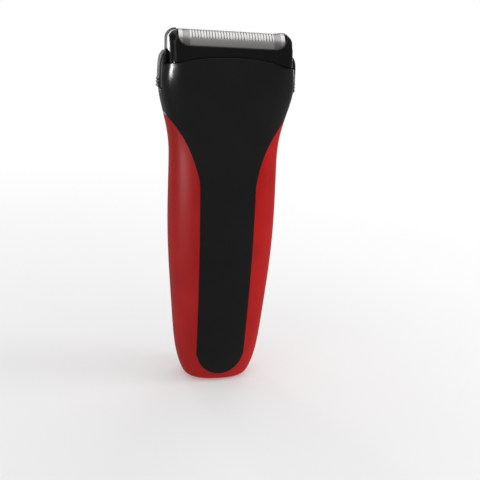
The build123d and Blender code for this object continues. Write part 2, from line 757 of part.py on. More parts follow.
def float_springs(y):
    springs = []
    for x in (-22.1, 22.1):
        springs.append(coil(0.85, 0.2, x, y, SHELF_Z, SHELF_Z + 3.0, 3.5))
    return group(*springs)


PARTS = {
    "rear_shell": rear_shell,
    "front_shell": front_shell,
    "rear_panel": rear_panel,
    "front_panel": front_panel,
    "head_housing": head_housing,
    "bulkhead_gasket": bulkhead_gasket,
    "housing_screws": housing_screws,
    "charging_socket": charging_socket,
    "socket_gasket": socket_gasket,
    "contact_pins": contact_pins,
    "inner_frame": inner_frame,
    "battery": battery,
    "battery_tabs": battery_tabs,
    "circuit_board": circuit_board,
    "board_components": board_components,
    "tact_switch": tact_switch,
    "switch_plunger": switch_plunger,
    "power_button": power_button,
    "button_ring": button_ring,
    "indicator_lenses": indicator_lenses,
    "motor_can": motor_can,
    "motor_end_bell": motor_end_bell,
    "motor_terminals": motor_terminals,
    "motor_bushes": motor_bushes,
    "motor_magnets": motor_magnets,
    "motor_bracket": motor_bracket,
    "motor_screws": motor_screws,
    "bracket_screws": bracket_screws,
    "armature": armature,
    "motor_shaft": motor_shaft,
    "eccentric_cam": eccentric_cam,
    "crank_pin": crank_pin,
    "crank_bush": crank_bush,
    "drive_bridge": drive_bridge,
    "drive_pins": drive_pins,
    "bridge_flexures": bridge_flexures,
    "drive_seal": drive_seal,
    "release_button_right": release_button,
    "release_button_left": lambda: mirror_x(release_button()),
    "release_spring_right": release_spring,
    "release_spring_left": lambda: mirror_x(release_spring()),
    "cassette_frame": cassette_frame,
    "rear_foil": lambda: foil(-1),
    "front_foil": lambda: foil(1),
    "rear_foil_carrier": lambda: foil_carrier(-1),
    "front_foil_carrier": lambda: foil_carrier(1),
    "rear_cutter_blades": lambda: cutter_blades(-1),
    "front_cutter_blades": lambda: cutter_blades(1),
    "rear_cutter_holder": lambda: cutter_holder(-1),
    "front_cutter_holder": lambda: cutter_holder(1),
    "trimmer_comb": trimmer_comb,
    "trimmer_carrier": trimmer_carrier,
    "trimmer_blade": trimmer_blade,
    "rear_foil_springs": lambda: float_springs(-FOIL_Y),
    "front_foil_springs": lambda: float_springs(FOIL_Y),
    "trimmer_springs": lambda: float_springs(0),
}

os.makedirs("parts", exist_ok=True)
for name, make in PARTS.items():
    shape = make()
    export_step(shape, f"parts/{name}.step")
    print(name, len(shape.solids()), round(shape.volume, 1))
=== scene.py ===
import json
import math

import bpy
import numpy as np
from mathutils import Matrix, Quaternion, Vector


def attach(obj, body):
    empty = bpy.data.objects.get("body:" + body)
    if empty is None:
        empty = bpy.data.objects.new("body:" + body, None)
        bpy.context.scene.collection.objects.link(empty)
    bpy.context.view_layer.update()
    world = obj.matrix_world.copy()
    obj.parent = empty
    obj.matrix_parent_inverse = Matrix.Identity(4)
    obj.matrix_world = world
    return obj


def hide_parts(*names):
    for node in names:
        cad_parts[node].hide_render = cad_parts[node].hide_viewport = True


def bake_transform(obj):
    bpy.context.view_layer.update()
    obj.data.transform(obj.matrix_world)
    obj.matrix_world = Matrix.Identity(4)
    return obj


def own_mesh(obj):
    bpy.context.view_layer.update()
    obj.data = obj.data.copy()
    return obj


# The foil shaver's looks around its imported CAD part. Shapes below are worked out in millimetres in the
# row frame (+Z up the grip, -Y the plain side) and turned into metres when a mesh is made.
MM = 0.001

# ---- cassette: x along it, y across it, z up the grip ----
CAP_HALF = 26.6               # half length over the end caps
CAP_BOW = 1.0                 # how much the end faces bulge
CAP_ROUND_SIDE, CAP_ROUND_TOP = 2.8, 4.3
CAP_ROUND_SPAN = (152.0, 157.5)    # height over which the caps' rounding grows from side to top
ARCH_HALF, ARCH_LOW, ARCH_TOP, ARCH_POWER = 13.4, 150.0, 159.4, 4.5    # the superellipse over the foils
APRON_KNEE = (15.9, 148.2)    # where the steep foot of the long sides meets their slope
APRON_SLOPE = (0.878, 0.479)  # the slope's outward direction in y and z
APRON_FOOT = (0.997, 0.077)   # the steep foot's outward direction
APRON_TOP = 153.6
CROWN_TOP, CROWN_R = 148.3, 96.3   # the arched line where the cassette meets the head
PARTING_GAP = 0.08
WINDOW_HALF, WINDOW_LOW, WINDOW_ROUND = 22.9, 152.5, 4.8
CAVITY = (23.6, 12.15, 153.7)      # half length, half width and ceiling of the hollow inside
WELL_TOP = 158.2              # the foils sink behind the window's corners up to here
SKIRT_HALF_X, SKIRT_HALF_Y, SKIRT_LOW, SKIRT_TOP, SKIRT_POWER = 25.8, 13.7, 144.9, 149.9, 3.2
NOTCH_X, NOTCH_HALF_Y, NOTCH_TOP = 25.0, 7.9, 150.4
SHELF = (20.8, 24.0, 12.4, 146.0, 147.2)    # ledge for the springs: from x, to x, half width, bottom, top
KNEE_ROUND, APRON_ROUND, APRON_FILLET = 2.0, 0.4, 1.2
PARTING_ROUND, SKIRT_ROUND, WINDOW_RIM = 0.15, 0.3, 0.4
CAVITY_ROUNDS = (0.5, 0.3, 0.2)    # radii of a hollow's corners, of its ceiling's edge and of its rim
WELL_ROUNDS = (0.3, 0.3, 0.15)
NOTCH_ROUNDS = (0.6, 1.2, 0.3)
CASSETTE_GRID = ((-27.2, -17.2, 143.6), (27.2, 17.2, 160.4), 0.4)    # low corner, high corner, cell

# ---- foils ----
FOIL_Y, FOIL_Z, FOIL_R = 6.6, 153.7, 5.2    # centre line and radius of the arch
FOIL_HALF, FOIL_LEG = 22.4, 150.6           # half length, height of the legs' feet
FOIL_T = 0.1
FOIL_RIM = 21.5               # where the plain band at each end of a foil starts
LEG_ROW = 1.2                 # a row of vertices this far down each leg
SLOT_PITCH = 1.2
SLOT_COLUMNS = 29
SLOT_HALF = 0.14
SLOT_END = 0.2                # length over which a slot's end rounds off
SLOT_TIP = 0.1                # square of the share of its width that a slot keeps at its very end
SLOT_STEP = 0.5               # about how far apart the vertices along a slot are
SLOT_SPANS = ((-6.4, -1.3), (-0.8, 0.8), (1.3, 6.4))    # each row of slots, as distances round the arch
DENT = (17.9, 20.6, 0.14)     # from x, to x, depth of the recessed pad at each end of a foil
DENT_RAMP = 0.2               # length over which a pad sinks
DENT_MARGIN = 0.9             # what a pad leaves free at the arch's top and feet
DENT_BLEND = 0.3              # length over which a pad's darker colour fades in
FOIL_SHARP = 35               # degrees

# ---- release buttons ----
BUTTON_OUTLINE = [(134.2, 29.5), (140.0, 30.1), (145.0, 29.6), (148.2, 28.6), (150.1, 27.2)]
BUTTON_MIDDLE = 142           # height about which the outline's curve is fitted
BUTTON_IN, BUTTON_HALF, BUTTON_LOW, BUTTON_TOP = 26.8, 7.3, 134.2, 150.1
BUTTON_CROWN = (5.1, 25.0)    # x of the axis and radius of the round that crowns the face
CROWN_ROUND, BUTTON_SIDE_ROUND = 0.8, 1.5
BUTTON_FOOT_ROUND, BUTTON_TOP_ROUND, BUTTON_BACK_ROUND = 0.8, 0.3, 0.2
RIB_ROWS = (135.3, 136.7, 138.1)
RIB_X, RIB_HALF, RIB_R, RIB_FILLET = 29.62, 4.2, 0.5, 0.25
BUTTON_GRID = ((26.2, -7.9, 133.6), (31.0, 7.9, 150.7), 0.24)

# ---- power key, on the +Y side ----
KEY_Z, KEY_R = 80.0, 6.35     # height of its axis, radius
KEY_FACE, KEY_LEAN, KEY_CROWN = 18.3, 0.037, 0.0055    # y, slope and curve of its face
KEY_DISH = (4.9, 0.5)         # radius and depth of the fingertip hollow
KEY_FLANGE = (7.5, 13.5, 14.7)     # radius, back and front
KEY_EDGE_ROUND, KEY_BACK_ROUND, FLANGE_ROUND = 0.5, 0.1, 0.2
KEY_GRID = ((-8.1, 12.9, 71.9), (8.1, 19.2, 88.1), 0.225)

# ---- springs ----
FLOAT_COIL, RELEASE_COIL = (0.85, 0.2, 3.5), (1.7, 0.22, 2.5)    # coil radius, wire radius and turns
FLOAT_X, FLOAT_FOOT, FLOAT_HEAD = 22.1, 147.2, 150.2
FOIL_TRAVEL, TRIMMER_TRAVEL, RELEASE_TRAVEL = 2.0, 1.8, 1.5      # how far their joints can press them
RELEASE_FOOT, RELEASE_HEAD, RELEASE_Z = 24.4, 26.8, 140.5
WIRE_STEPS, WIRE_SIDES = 24, 8     # steps in one turn, sides of the wire (its end caps are cut for 8)
LEAF_X, LEAF_HALF_Y, LEAF_WAIST, LEAF_T = 12.0, 4.0, 1.1, 0.3
LEAF_LOW, LEAF_HIGH = 126.5, 140.4
LEAF_ROWS = 16
LEAF_SHARP = 30               # degrees

# ---- field meshing ----
SURFACE_STEPS = 8             # how often a vertex is moved onto the surface
SURFACE_REACH = 0.4           # how far one move may go, in cells

# ---- stage, light and camera, in metres ----
FLOOR_RADIUS = 0.62
FLOOR_CLEARANCE = 0.2 * MM    # how far the paper lies below the foot
FLOOR_SPOKES = 96
FLOOR_FADE = (0.15, 0.9)      # shares of the radius between which the paper turns into glow
FLOOR_GLOW = (0.3, 1)         # share of glow at those two places
ROOM_LIGHT = 0.22             # strength of the even light that reaches the object
EYE = Vector((-0.05693, -0.29979, 0.155))    # where the photographer's eye was
YAW, PITCH, ROLL = (math.radians(d) for d in (12.55, 16.18, 2.89))
LENS_MM = 51.3
SENSOR_MM = 36

# ---- noise scales and shades ----
FLOW_SCALE, METAL_SCALE, PAPER_SCALE = 45, 120, 6
PLASTIC_SHADES, METAL_SHADES = (0.86, 1.1), (0.88, 1.06)    # darkest and lightest share of a colour
METAL_SPREAD = 0.08           # how far a metal's roughness strays either way

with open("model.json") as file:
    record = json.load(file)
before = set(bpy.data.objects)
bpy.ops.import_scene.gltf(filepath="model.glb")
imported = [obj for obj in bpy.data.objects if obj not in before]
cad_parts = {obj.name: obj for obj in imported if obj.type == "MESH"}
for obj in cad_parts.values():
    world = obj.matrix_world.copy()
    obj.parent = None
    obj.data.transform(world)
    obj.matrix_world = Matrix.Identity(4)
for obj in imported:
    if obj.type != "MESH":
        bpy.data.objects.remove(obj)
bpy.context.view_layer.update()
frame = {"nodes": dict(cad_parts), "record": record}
nodes = frame["nodes"]


# ---------------------------------------------------------------- materials
class Shader:
    """A Principled material and short ways to wire its procedural textures."""

    def __init__(self, name, colour, roughness, metallic=0.0, **sockets):
        self.material = bpy.data.materials.new(name)
        self.material.use_nodes = True
        self.tree = self.material.node_tree
        self.bsdf = self.tree.nodes["Principled BSDF"]
        self.bsdf.inputs["Base Color"].default_value = (*colour, 1)
        self.bsdf.inputs["Roughness"].default_value = roughness
        self.bsdf.inputs["Metallic"].default_value = metallic
        for socket, value in sockets.items():
            self.bsdf.inputs[socket.replace("_", " ")].default_value = value
        self.coords = self.tree.nodes.new("ShaderNodeTexCoord").outputs["Object"]
        self.normal = None

    def node(self, kind, **values):
        node = self.tree.nodes.new(kind)
        for key, value in values.items():
            if key in node.inputs:
                node.inputs[key].default_value = value
            else:
                setattr(node, key, value)
        return node

    def link(self, a, b):
        self.tree.links.new(a, b)

    def noise(self, scale, detail=3.0, stretch=(1, 1, 1), rough=0.55):
        mapping = self.node("ShaderNodeMapping")
        mapping.inputs["Scale"].default_value = stretch
        self.link(self.coords, mapping.inputs["Vector"])
        noise = self.node("ShaderNodeTexNoise", Scale=scale, Detail=detail, Roughness=rough)
        self.link(mapping.outputs["Vector"], noise.inputs["Vector"])
        return noise.outputs["Fac"]

    def span(self, value, low, high, from_low=0.3, from_high=0.7):
        span = self.node("ShaderNodeMapRange")
        names = ("From Min", "From Max", "To Min", "To Max")
        for key, number in zip(names, (from_low, from_high, low, high)):
            span.inputs[key].default_value = number
        self.link(value, span.inputs["Value"])
        return span.outputs["Result"]

    def maths(self, operation, a, b=None):
        node = self.node("ShaderNodeMath", operation=operation)
        for socket, value in zip(node.inputs, (a, b)):
            if isinstance(value, (int, float)):
                socket.default_value = value
            elif value is not None:
                self.link(value, socket)
        return node.outputs["Value"]

    def axis(self, name):
        split = self.node("ShaderNodeSeparateXYZ")
        self.link(self.coords, split.inputs["Vector"])
        return split.outputs[name]

    def mottle(self, fac, colour_a, colour_b):
        mix = self.node("ShaderNodeMix", data_type="RGBA")
        mix.inputs["A"].default_value = (*colour_a, 1)
        mix.inputs["B"].default_value = (*colour_b, 1)
        self.link(fac, mix.inputs["Factor"])
        self.link(mix.outputs["Result"], self.bsdf.inputs["Base Color"])

    def rough(self, fac, low, high):
        self.link(self.span(fac, low, high), self.bsdf.inputs["Roughness"])

    def bump(self, fac, distance_mm, strength=1.0):
        bump = self.node("ShaderNodeBump", Distance=distance_mm * MM, Strength=strength)
        self.link(fac, bump.inputs["Height"])
        if self.normal is not None:
            self.link(self.normal, bump.inputs["Normal"])
        self.normal = bump.outputs["Normal"]
        self.link(self.normal, self.bsdf.inputs["Normal"])

    def soft_edges(self, radius_mm):
        bevel = self.node("ShaderNodeBevel", samples=4, Radius=radius_mm * MM)
        self.normal = bevel.outputs["Normal"]
        self.link(self.normal, self.bsdf.inputs["Normal"])


def moulded(name, colour, roughness, grain=900, depth=0.01, spread=0.05, edge=0.0, **sockets):
    """Moulded plastic: a fine pebble, faint flow marks in the colour and slightly uneven gloss."""
    s = Shader(name, colour, roughness, **sockets)
    if edge:
        s.soft_edges(edge)
    fine = s.noise(grain, 2.0)
    broad = s.noise(FLOW_SCALE, 4.0)
    darker = tuple(c * PLASTIC_SHADES[0] for c in colour)
    lighter = tuple(min(1, c * PLASTIC_SHADES[1] + 0.001) for c in colour)
    s.mottle(s.span(broad, 0, 1), darker, lighter)
    s.rough(broad, max(0.02, roughness - spread), roughness + spread)
    s.bump(fine, depth)
    return s.material


def metal(name, colour, roughness, stretch=(1, 1, 1), grain=1500, depth=0.004, edge=0.0):
    """Metal with a fine grain, drawn out along an axis where stretch says so."""
    s = Shader(name, colour, roughness, metallic=1.0)
    if edge:
        s.soft_edges(edge)
    grainy = s.noise(grain, 3.0, stretch)
    broad = s.noise(METAL_SCALE, 3.0)
    darker = tuple(c * METAL_SHADES[0] for c in colour)
    lighter = tuple(min(1, c * METAL_SHADES[1]) for c in colour)
    s.mottle(s.span(broad, 0, 1), darker, lighter)
    s.rough(grainy, max(0.03, roughness - METAL_SPREAD), roughness + METAL_SPREAD)
    s.bump(grainy, depth)
    return s.material


def foil_metal():
    """Electroformed nickel: satin, darker in colour on the two recessed end pads."""
    s = Shader("foil_nickel", (0.66, 0.65, 0.64), 0.38, metallic=1.0)
    across = s.maths("ABSOLUTE", s.axis("X"))
    inner = s.span(across, 0, 1, (DENT[0] - DENT_BLEND) * MM, DENT[0] * MM)
    outer = s.span(across, 1, 0, DENT[1] * MM, (DENT[1] + DENT_BLEND) * MM)
    pad = s.maths("MULTIPLY", inner, outer)
    speckle = s.span(s.noise(700, 3.0), -0.12, 0.12)
    s.mottle(s.maths("ADD", pad, speckle), (0.68, 0.67, 0.66), (0.38, 0.375, 0.37))
    s.rough(s.noise(1800, 2.0, (40, 1, 1)), 0.34, 0.44)
    s.bump(s.noise(2500, 2.0, (30, 1, 1)), 0.003)
    return s.material


MATERIALS = {
    "red_shell": moulded("satin_red", (0.49, 0.006, 0.006), 0.42, 1400, 0.004, edge=0.25,
                         Specular_IOR_Level=0.2),
    "grip_black": moulded("satin_black", (0.0065, 0.0063, 0.0063), 0.2, 2200, 0.004, edge=0.3,
                          Specular_IOR_Level=0.4),
    "panel_black": moulded("panel_black", (0.0065, 0.0065, 0.0067), 0.2, 2200, 0.004, edge=0.3,
                           Specular_IOR_Level=0.4),
    "housing_black": moulded("housing_black", (0.011, 0.011, 0.0115), 0.42, edge=0.3),
    "seal_rubber": moulded("seal_rubber", (0.02, 0.02, 0.02), 0.7),
    "screw_steel": metal("screw_steel", (0.09, 0.09, 0.095), 0.37),
    "socket_black": moulded("socket_black", (0.012, 0.012, 0.012), 0.4, edge=0.3),
    "pin_plating": metal("pin_plating", (0.78, 0.74, 0.66), 0.18),
    "chassis_white": moulded("chassis_white", (0.6, 0.6, 0.57), 0.45),
    "battery_sleeve": moulded("battery_sleeve", (0.03, 0.11, 0.36), 0.35),
    "tab_nickel": metal("tab_nickel", (0.66, 0.63, 0.57), 0.37),
    "board_green": moulded("board_green", (0.01, 0.11, 0.035), 0.35),
    "component_black": moulded("component_black", (0.015, 0.015, 0.015), 0.5),
    "button_black": moulded("button_black", (0.013, 0.013, 0.0135), 0.4, depth=0.003, edge=0.3,
                            Specular_IOR_Level=0.2),
    "ring_chrome": metal("ring_chrome", (0.86, 0.86, 0.87), 0.12, depth=0.001, edge=0.5),
    "lens_clear": moulded("lens_clear", (0.7, 0.72, 0.74), 0.2),
    "can_steel": metal("can_steel", (0.6, 0.6, 0.61), 0.37),
    "terminal_brass": metal("terminal_brass", (0.75, 0.55, 0.25), 0.37),
    "bush_bronze": metal("bush_bronze", (0.55, 0.35, 0.18), 0.4),
    "ferrite": moulded("ferrite", (0.03, 0.03, 0.033), 0.6),
    "core_steel": metal("core_steel", (0.35, 0.33, 0.32), 0.4, stretch=(1, 1, 30)),
    "shaft_steel": metal("shaft_steel", (0.66, 0.66, 0.68), 0.18),
    "cam_brass": metal("cam_brass", (0.75, 0.56, 0.27), 0.18),
    "acetal_white": moulded("acetal_white", (0.7, 0.7, 0.67), 0.4),
    "spring_steel": metal("spring_steel", (0.6, 0.6, 0.62), 0.18),
    "cassette_black": moulded("cassette_gloss", (0.005, 0.005, 0.0052), 0.14, 600, 0.0012, 0.02,
                              Specular_IOR_Level=0.25),
    "foil_nickel": foil_metal(),
    "blade_steel": metal("blade_steel", (0.5, 0.5, 0.505), 0.37, stretch=(30, 1, 1), edge=0.12),
    "acetal_black": moulded("acetal_black", (0.012, 0.012, 0.012), 0.4),
}
SLOTS = {row["node"]: row["material_slot"] for row in frame["record"]["subparts"]}
for name, slot in SLOTS.items():
    mesh = nodes[name].data
    mesh.materials.clear()
    mesh.materials.append(MATERIALS[slot])


# ---------------------------------------------------------------- meshes
def new_object(name, mesh):
    obj = bpy.data.objects.new(name, mesh)
    bpy.context.scene.collection.objects.link(obj)
    return obj


def add_piece(name, mesh, body, node):
    """A finished piece in place of a CAD node, in that node's slot. It rides the body, if one is given."""
    mesh.materials.append(MATERIALS[SLOTS[node]])
    piece = new_object(name, mesh)
    if body:
        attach(piece, body)
    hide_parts(node)
    return piece


def quads_mesh(name, verts, faces, normals=None, sharp=None):
    mesh = bpy.data.meshes.new(name)
    mesh.from_pydata((np.asarray(verts, float) * MM).tolist(), [], np.asarray(faces).tolist())
    mesh.validate()
    mesh.shade_smooth()
    if sharp is not None:
        mesh.set_sharp_from_angle(angle=math.radians(sharp))
    if normals is not None:
        mesh.normals_split_custom_set_from_vertices(np.asarray(normals).tolist())
    return mesh


def gradient(field, p, h=0.01):
    steps = [field(p + h * axis) - field(p - h * axis) for axis in np.eye(3)]
    return np.stack(steps, -1) / (2 * h)


def field_mesh(name, field, low, high, step):
    """The zero surface of a field that is negative inside, as quads with exact normals."""
    counts = [int(round((b - a) / step)) + 1 for a, b in zip(low, high)]
    ticks = [np.linspace(a, b, n) for a, b, n in zip(low, high, counts)]
    grid = np.stack(np.meshgrid(*ticks, indexing="ij"), -1)
    inside = field(grid.reshape(-1, 3)).reshape(counts) < 0
    corners = [inside[i:counts[0] - 1 + i, j:counts[1] - 1 + j, k:counts[2] - 1 + k]
               for i in (0, 1) for j in (0, 1) for k in (0, 1)]
    total = sum(c.astype(int) for c in corners)
    active = (total > 0) & (total < 8)
    index = np.full(active.shape, -1)
    index[active] = np.arange(active.sum())
    cells = np.argwhere(active)
    points = np.stack([ticks[a][cells[:, a]] for a in range(3)], -1) + step / 2
    for _ in range(SURFACE_STEPS):
        value = field(points)
        slope = gradient(field, points)
        move = value[:, None] * slope / np.maximum((slope ** 2).sum(-1, keepdims=True), 1e-6)
        points -= np.clip(move, -SURFACE_REACH * step, SURFACE_REACH * step)
    slope = gradient(field, points)
    normals = slope / np.maximum(np.linalg.norm(slope, axis=-1, keepdims=True), 1e-9)
    faces = []
    for axis in range(3):
        u, v = (axis + 1) % 3, (axis + 2) % 3
        here = np.take(inside, range(counts[axis] - 1), axis)
        there = np.take(inside, range(1, counts[axis]), axis)
        edges = np.argwhere(here != there)
        edges = edges[(edges[:, u] > 0) & (edges[:, v] > 0)
                      & (edges[:, u] < counts[u] - 1) & (edges[:, v] < counts[v] - 1)]
        out = here[tuple(edges.T)]
        ring = []
        for du, dv in ((-1, -1), (0, -1), (0, 0), (-1, 0)):
            cell = edges.copy()
            cell[:, u] += du
            cell[:, v] += dv
            ring.append(index[tuple(cell.T)])
        ring = np.stack(ring, -1)
        ring[~out] = ring[~out][:, ::-1]
        faces.append(ring)
    return quads_mesh(name, points, np.concatenate(faces), normals)


def meet(a, b, r):
    """The intersection of two fields, its edge rounded to radius r."""
    round_part = np.hypot(np.maximum(r + a, 0), np.maximum(r + b, 0))
    return np.minimum(-r, np.maximum(a, b)) + round_part


def join(a, b, r):
    """The union of two fields, its inner corner filled to radius r."""
    return -meet(-a, -b, r)


def cut(a, b, r):
    """The first field less the second, its rim rounded to radius r."""
    return meet(a, -b, r)


def pocket(solid, end, side, ceiling, rounds):
    """The solid less what lies inside three fields, with radii for the corners, the ceiling and the rim."""
    corner, edge, rim = rounds
    return cut(solid, meet(meet(end, side, corner), ceiling, edge), rim)


def oval(p, q, a, b, power):
    """How far outside a superellipse with half sizes a and b the point (p, q) is, nearly to scale."""
    u, v = np.abs(p) / a + 1e-9, np.abs(q) / b + 1e-9
    g = (u ** power + v ** power) ** (1 / power)
    slope = g ** (1 - power) * np.hypot(u ** (power - 1) / a, v ** (power - 1) / b)
    return (g - 1) / slope


def smoothstep(value, low, high):
    t = np.clip((value - low) / (high - low), 0, 1)
    return t * t * (3 - 2 * t)


def cassette_field(p):
    x, y, z = np.abs(p[:, 0]), np.abs(p[:, 1]), p[:, 2]
    dome = oval(y, np.maximum(z - ARCH_LOW, 0), ARCH_HALF, ARCH_TOP - ARCH_LOW, ARCH_POWER)
    knee_y, knee_z = APRON_KNEE
    slope = (y - knee_y) * APRON_SLOPE[0] + (z - knee_z) * APRON_SLOPE[1]
    foot = (y - knee_y) * APRON_FOOT[0] + (z - knee_z) * APRON_FOOT[1]
    apron = meet(meet(slope, foot, KNEE_ROUND), z - APRON_TOP, APRON_ROUND)
    body = join(dome, apron, APRON_FILLET)
    ends = x - CAP_HALF + CAP_BOW * (y / ARCH_HALF) ** 2
    radius = CAP_ROUND_SIDE + (CAP_ROUND_TOP - CAP_ROUND_SIDE) * smoothstep(z, *CAP_ROUND_SPAN)
    outer = meet(body, ends, radius)
    under = CROWN_R + PARTING_GAP - np.hypot(x, z - (CROWN_TOP - CROWN_R))
    outer = meet(outer, under, PARTING_ROUND)
    skirt = meet(oval(x, y, SKIRT_HALF_X, SKIRT_HALF_Y, SKIRT_POWER), SKIRT_LOW - z, SKIRT_ROUND)
    skirt = np.maximum(skirt, z - SKIRT_TOP)
    solid = np.minimum(outer, skirt)
    window = meet(x - WINDOW_HALF, WINDOW_LOW - z, WINDOW_ROUND)
    solid = cut(solid, window, WINDOW_RIM)
    solid = pocket(solid, x - CAVITY[0], y - CAVITY[1], z - CAVITY[2], CAVITY_ROUNDS)
    solid = pocket(solid, x - WINDOW_HALF, y - CAVITY[1], z - WELL_TOP, WELL_ROUNDS)
    solid = pocket(solid, NOTCH_X - x, y - NOTCH_HALF_Y, z - NOTCH_TOP, NOTCH_ROUNDS)
    shelf = np.maximum.reduce([SHELF[0] - x, x - SHELF[1], y - SHELF[2], SHELF[3] - z, z - SHELF[4]])
    return np.minimum(solid, shelf)


OUTLINE_FIT = np.polyfit([z - BUTTON_MIDDLE for z, x in BUTTON_OUTLINE], [x for z, x in BUTTON_OUTLINE], 4)


def button_field(p):
    x, y, z = p[:, 0], np.abs(p[:, 1]), p[:, 2]
    edge = np.polyval(OUTLINE_FIT, z - BUTTON_MIDDLE)
    lean = np.polyval(np.polyder(OUTLINE_FIT), z - BUTTON_MIDDLE)
    face = (x - edge) / np.sqrt(1 + lean ** 2)
    face = meet(face, np.hypot(x - BUTTON_CROWN[0], y) - BUTTON_CROWN[1], CROWN_ROUND)
    pad = meet(face, y - BUTTON_HALF, BUTTON_SIDE_ROUND)
    pad = meet(pad, BUTTON_LOW - z, BUTTON_FOOT_ROUND)
    pad = meet(pad, z - BUTTON_TOP, BUTTON_TOP_ROUND)
    pad = meet(pad, BUTTON_IN - x, BUTTON_BACK_ROUND)
    for row in RIB_ROWS:
        rib = np.sqrt((x - RIB_X) ** 2 + np.maximum(y - RIB_HALF, 0) ** 2 + (z - row) ** 2) - RIB_R
        pad = join(pad, rib, RIB_FILLET)
    return pad


def make_cassette():
    mesh = field_mesh("cassette_cover", cassette_field, *CASSETTE_GRID)
    add_piece("cassette_cover", mesh, "cassette", "cassette_frame")


def make_release_buttons():
    low, high, cell = BUTTON_GRID
    mirrored = (-high[0], low[1], low[2]), (-low[0], high[1], high[2])
    for side, sign, corners in (("right", 1, (low, high)), ("left", -1, mirrored)):
        def field(p, sign=sign):
            return button_field(p * np.array([sign, 1, 1]))
        mesh = field_mesh(f"release_pad_{side}", field, *corners, cell)
        add_piece(f"release_pad_{side}", mesh, f"release_{side}", f"release_button_{side}")


def key_field(p):
    """The power key: a round stem with a hollow for the fingertip and a flange behind the panel."""
    x, y, z = p[:, 0], p[:, 1], p[:, 2] - KEY_Z
    r = np.hypot(x, z)
    hollow = KEY_DISH[1] * np.clip(1 - (r / KEY_DISH[0]) ** 2, 0, 1) ** 2
    face = y - (KEY_FACE - KEY_LEAN * z - KEY_CROWN * x ** 2 - hollow)
    stem = meet(meet(face, r - KEY_R, KEY_EDGE_ROUND), KEY_FLANGE[1] - y, KEY_BACK_ROUND)
    flange = meet(r - KEY_FLANGE[0], y - KEY_FLANGE[2], FLANGE_ROUND)
    flange = meet(flange, KEY_FLANGE[1] - y, FLANGE_ROUND)
    return join(stem, flange, FLANGE_ROUND)


def make_power_key():
    mesh = field_mesh("power_key_cap", key_field, *KEY_GRID)
    add_piece("power_key_cap", mesh, "power_key", "power_button")


# ---- springs ----
def coil_mesh(name, places, radius, wire, turns):
    """A compression spring from foot to head of each place, its end turns closed."""
    steps = int(WIRE_STEPS * turns)
    verts, faces = [], []
    for foot, head in places:
        foot, head = Vector(foot), Vector(head)
        along, length = (head - foot).normalized(), (head - foot).length
        side = along.orthogonal().normalized()
        other = along.cross(side)
        first = len(verts)
        for i in range(steps + 1):
            t = i / steps
            rise = t - math.sin(2 * math.pi * t) / (2 * math.pi)
            turn = 2 * math.pi * turns * t
            radial = side * math.cos(turn) + other * math.sin(turn)
            centre = foot + along * (wire + (length - 2 * wire) * rise) + radial * radius
            for k in range(WIRE_SIDES):
                phi = 2 * math.pi * k / WIRE_SIDES
                verts.append(centre + (radial * math.cos(phi) + along * math.sin(phi)) * wire)
        for i in range(steps):
            a = first + i * WIRE_SIDES
            for k in range(WIRE_SIDES):
                b = (k + 1) % WIRE_SIDES
                faces.append((a + k, a + WIRE_SIDES + k, a + WIRE_SIDES + b, a + b))
        for a, order in ((first, 1), (first + steps * WIRE_SIDES, -1)):
            for cap in ((0, 1, 2, 3), (0, 3, 4, 7), (4, 5, 6, 7)):
                faces.append(tuple(a + k for k in cap)[::order])
    return quads_mesh(name, verts, faces)


def leaf_mesh(name):
    """The two leaf springs that carry the drive bridge, waisted where they bend."""
    verts, faces = [], []
    for x in (-LEAF_X, LEAF_X):
        first = len(verts)
        for i in range(LEAF_ROWS + 1):
            half = LEAF_HALF_Y - LEAF_WAIST * math.sin(math.pi * i / LEAF_ROWS) ** 2
            z = LEAF_LOW + (LEAF_HIGH - LEAF_LOW) * i / LEAF_ROWS
            a, b = x - LEAF_T / 2, x + LEAF_T / 2
            verts += [(a, -half, z), (b, -half, z), (b, half, z), (a, half, z)]
        for i in range(LEAF_ROWS):
            a = first + 4 * i
            faces += [(a + k, a + (k + 1) % 4, a + 4 + (k + 1) % 4, a + 4 + k) for k in range(4)]
        top = first + 4 * LEAF_ROWS
        faces += [(first + 3, first + 2, first + 1, first), (top, top + 1, top + 2, top + 3)]
    return quads_mesh(name, verts, faces, sharp=LEAF_SHARP)


def make_springs():
    floats = (("rear_foil", -FOIL_Y, FOIL_TRAVEL), ("front_foil", FOIL_Y, FOIL_TRAVEL),
              ("trimmer", 0, TRIMMER_TRAVEL))
    for name, y, travel in floats:
        places = [((x, y, FLOAT_FOOT), (x, y, FLOAT_HEAD)) for x in (-FLOAT_X, FLOAT_X)]
        mesh = coil_mesh(f"{name}_coils", places, *FLOAT_COIL)
        piece = add_piece(f"{name}_coils", mesh, "cassette", f"{name}_springs")
        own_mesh(piece)
    for side, sign in (("right", 1), ("left", -1)):
        place = ((sign * RELEASE_FOOT, 0, RELEASE_Z), (sign * RELEASE_HEAD, 0, RELEASE_Z))
        mesh = coil_mesh(f"release_coil_{side}", [place], *RELEASE_COIL)
        piece = add_piece(f"release_coil_{side}", mesh, "grip", f"release_spring_{side}")
        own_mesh(piece)
    leaves = add_piece("bridge_leaves", leaf_mesh("bridge_leaves"), None, "bridge_flexures")
    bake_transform(leaves)


# ---- foils ----
def foil_columns():
    """Positions along the foil: (x, role) where slot edges come in pairs and the rest is plain sheet."""
    half = SLOT_COLUMNS * SLOT_PITCH / 2
    columns = [(-FOIL_HALF, "plain"), (-FOIL_RIM, "plain"), (-DENT[1] - DENT_RAMP, "plain"),
               (-DENT[1], "dent"), (-DENT[0], "dent"), (-DENT[0] + DENT_RAMP, "plain")]
    ending = [(-x, role) for x, role in reversed(columns)]
    for k in range(SLOT_COLUMNS):
        centre = -half + (k + 0.5) * SLOT_PITCH
        if k:
            columns.append((centre - SLOT_PITCH / 2, "plain"))
        columns += [(centre, "left"), (centre, "right")]
    return columns + ending


